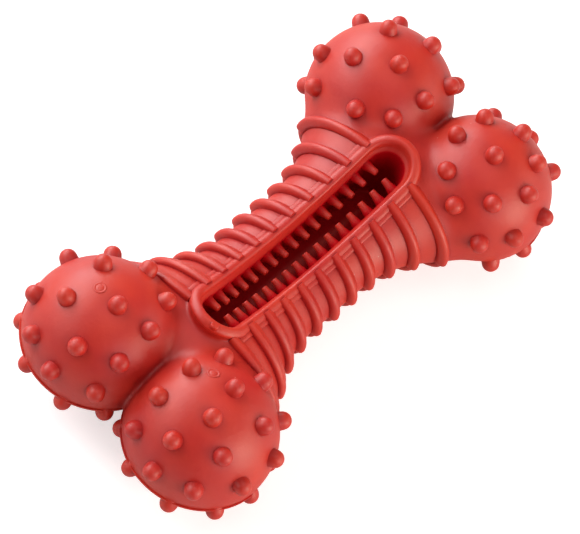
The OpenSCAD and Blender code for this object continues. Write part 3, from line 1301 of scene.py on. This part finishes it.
@dataclass
class RimTabs:
    """The small ledges between the ribs at the rim's foot."""

    ribs: FlankRibs
    out_of_rim: float = 0.20
    points_each: int = 9
    profile: Outline = (
        (1.0, -0.4), (1.0, 0.18), (0.84, 0.40), (0.40, 0.48),
        (-0.40, 0.48), (-0.84, 0.40), (-1.0, 0.18), (-1.0, -0.4),
    )

    def line(self, start: float, stop: float) -> FlankLine:
        """Foot line of one tab beside the rim.

        Args:
            start: The rib where it starts, along the bone.
            stop: The rib where it ends.

        Returns:
            Places on the flank, the outward directions and the tab's size there.
        """
        s = self.ribs.shape
        y = s.rim_out + self.out_of_rim
        x = np.linspace(start, stop, self.points_each)
        w, e = s.half_w(x), s.top_h(x)
        rise = e * np.sqrt(1 - (y / w) ** 2)
        places = np.stack([x, np.full_like(x, y), s.seam_z + rise], -1)
        out = np.stack([np.zeros_like(x), y / w ** 2, rise / e ** 2], -1)
        return places, out / np.linalg.norm(out, axis=1, keepdims=True), np.ones(len(x))

    def build(self, rubber: Material) -> None:
        """Sweeps the tabs from rib to rib and hands them over.

        Args:
            rubber: Their finish.
        """
        side = self.ribs.side
        name = f"tabs_{side.name}".lower()
        stations = self.ribs.stations()
        seed = seed_lines(name, side, [self.line(*pair) for pair in zip(stations, stations[1:])])
        section = np.array([(h, a, 0.0) for a, h in reversed(self.profile)])
        hand_over(sweep_section(seed, section, rubber), [name])


@dataclass(frozen=True)
class SoftLamp:
    """A square lamp: its place and side in metres, and its power in watts."""

    name: str
    place: Place
    size: float
    power: float
    colour: Colour


@dataclass
class Studio:
    """Floor, lamps, world and camera."""

    lamps: Sequence[SoftLamp] = (
        SoftLamp("key", (-0.10, 1.05, 0.62), 0.90, 12.4, (0.97, 1.0, 1.0)),
        SoftLamp("left", (-0.80, 0.70, 0.55), 0.70, 2.6, (0.85, 1.0, 1.0)),
        SoftLamp("edge", (0.50, 0.95, 0.34), 0.60, 6.5, (0.90, 1.0, 1.0)),
        SoftLamp("top", (0.05, 0.0, 1.2), 0.80, 2.6, (1.0, 0.90, 0.90)),
        SoftLamp("fill", (-0.35, -0.95, 0.60), 0.70, 4.0, (1.0, 0.80, 0.80)),
        SoftLamp("low_fill", (0.20, -1.10, 0.36), 0.60, 7.2, (1.0, 0.98, 0.80)),
        SoftLamp("back_right", (0.85, -0.75, 0.50), 0.70, 2.7, (1.0, 0.90, 0.80)),
    )
    world_light: float = 0.05
    world_sheen: float = 0.22
    focal_px: float = 4234.67
    frame_px: float = 580.0
    sensor: float = 36.0
    far_clip: float = 10.0
    floor_reach: float = 2.5
    floor_colour: Colour = (0.80, 0.80, 0.80)
    floor_roughness: float = 0.9
    floor_lift: float = 0.60
    camera_place: Place = (-570.83, -168.55, 969.67)
    camera_turn: tuple[Place, ...] = (
        (0.65201, -0.71068, 0.26425),
        (0.56388, 0.68748, 0.45761),
        (-0.50688, -0.14936, 0.84898),
    )

    def build(self) -> None:
        """Sets the whole stage."""
        self.add_camera()
        self.add_floor()
        self.add_world()
        for lamp in self.lamps:
            self.add_lamp(lamp)
        bpy.context.scene.view_settings.view_transform = "Standard"

    def add_camera(self) -> None:
        """Stands the camera where the photograph was taken from."""
        lens = bpy.data.cameras.new("camera")
        lens.sensor_width = self.sensor
        lens.lens = self.focal_px * self.sensor / self.frame_px
        lens.clip_end = self.far_clip
        camera = bpy.data.objects.new("camera", lens)
        turn = Matrix(self.camera_turn).transposed().to_4x4()
        camera.matrix_world = Matrix.Translation(Vector(self.camera_place) * MM) @ turn
        bpy.context.collection.objects.link(camera)
        bpy.context.scene.camera = camera

    def add_floor(self) -> None:
        """Lays a wide floor that the camera sees as white wherever no shadow falls."""
        r = self.floor_reach
        mesh = bpy.data.meshes.new("floor")
        mesh.from_pydata([(-r, -r, 0), (r, -r, 0), (r, r, 0), (-r, r, 0)], [], [(0, 1, 2, 3)])
        floor = bpy.data.objects.new("floor", mesh)
        bpy.context.collection.objects.link(floor)
        tool = ShaderTool("floor_white")
        tool.feed(tool.shader.inputs["Base Color"], (*self.floor_colour, 1.0))
        tool.feed(tool.shader.inputs["Roughness"], self.floor_roughness)
        seen = tool.add("ShaderNodeLightPath").outputs["Is Camera Ray"]
        lift = tool.math("MULTIPLY", seen, self.floor_lift)
        glow = tool.add("ShaderNodeEmission", {"Strength": lift})
        both = tool.add("ShaderNodeAddShader", {0: tool.shader.outputs["BSDF"],
                                                1: glow.outputs["Emission"]})
        tool.feed(tool.tree.nodes["Material Output"].inputs["Surface"], both.outputs["Shader"])
        mesh.materials.append(tool.material)

    def add_world(self) -> None:
        """Lights the scene evenly, white where the camera looks past the floor."""
        world = bpy.data.worlds.new("studio")
        world.use_nodes = True
        tool = TreeTool(world.node_tree)
        back = tool.tree.nodes["Background"]
        ray = tool.add("ShaderNodeLightPath")
        mirrored = tool.math("MULTIPLY_ADD", ray.outputs["Is Glossy Ray"], self.world_sheen,
                             self.world_light)
        tool.feed(back.inputs["Color"], (1.0, 1.0, 1.0, 1.0))
        tool.feed(back.inputs["Strength"], tool.math("MAXIMUM", ray.outputs["Is Camera Ray"], mirrored))
        bpy.context.scene.world = world

    def add_lamp(self, lamp: SoftLamp) -> None:
        """Hangs a square soft lamp that faces the toy.

        Args:
            lamp: Its settings.
        """
        light = bpy.data.lights.new(lamp.name, "AREA")
        light.size = lamp.size
        light.energy = lamp.power
        light.color = lamp.colour
        hung = bpy.data.objects.new(lamp.name, light)
        way = Vector(lamp.place)
        hung.matrix_world = Matrix.Translation(way) @ way.to_track_quat("Z", "Y").to_matrix().to_4x4()
        bpy.context.collection.objects.link(hung)


# Each stud's angle above the parting line and its angle round the lobe, in degrees.
UPPER_STUDS: dict[tuple[End, Side], Sequence[StudPlace]] = {
    (End.NEAR, Side.LEFT): (
        (16, -37), (14, 0), (18, 30), (22, 62), (16, 108), (16, 142),
        (43, -51), (57, -97), (47, -147), (44, -6), (40, 173), (57, 120), (53, 50), (84, -41)),
    (End.NEAR, Side.RIGHT): (
        (20, -33), (14, 0), (18, 33), (21, 70), (22, 106), (16, 142), (45, -53), (57, -100),
        (46, -146), (44, -4), (39, 170), (51, 114), (48, 51), (74, 23), (76, 175)),
    (End.FAR, Side.LEFT): (
        (15, -37), (14, 0), (18, 31), (16, 62), (23, 114), (16, 142),
        (40, -54), (54, -98), (44, -139), (52, -8), (38, -177), (54, 128), (59, 56), (85, -154)),
    (End.FAR, Side.RIGHT): (
        (16, -33), (14, 0), (16, 32), (24, 81), (22, 114), (17, 142), (52, -54), (54, -103),
        (48, -151), (55, -3), (37, 176), (51, 141), (57, 46), (85, -164), (52, 92)),
}


@dataclass
class ChewToy:
    """The whole toy."""

    shape: ToyShape = field(default_factory=ToyShape)
    kept_nodes: tuple[str, ...] = ("flash_line",)

    def build(self, nodes: dict[str, Object]) -> None:
        """Builds every piece and dresses the CAD nodes that stay.

        Args:
            nodes: The CAD nodes by name.
        """
        rubber = RubberFinish("red_rubber", self.shape).build()
        MouldedBody(self.shape).build(rubber)
        SlotRim(self.shape).build(rubber)
        for (end, side), places in UPPER_STUDS.items():
            LobeStuds(self.shape, end, side, places).build(rubber)
        GateMarks(self.shape).build(rubber)
        for side in Side:
            PegRow(self.shape, side).build(rubber)
            ribs = FlankRibs(self.shape, side)
            ribs.build(rubber)
            RimTabs(ribs).build(rubber)
        for name in self.kept_nodes:
            for holder in nodes[name].material_slots:
                holder.material = rubber


def main() -> None:
    """Builds the toy and the studio."""
    logging.basicConfig(level=logging.INFO)
    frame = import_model()
    Studio().build()
    ChewToy().build(frame["nodes"])


if __name__ == "__main__":
    main()
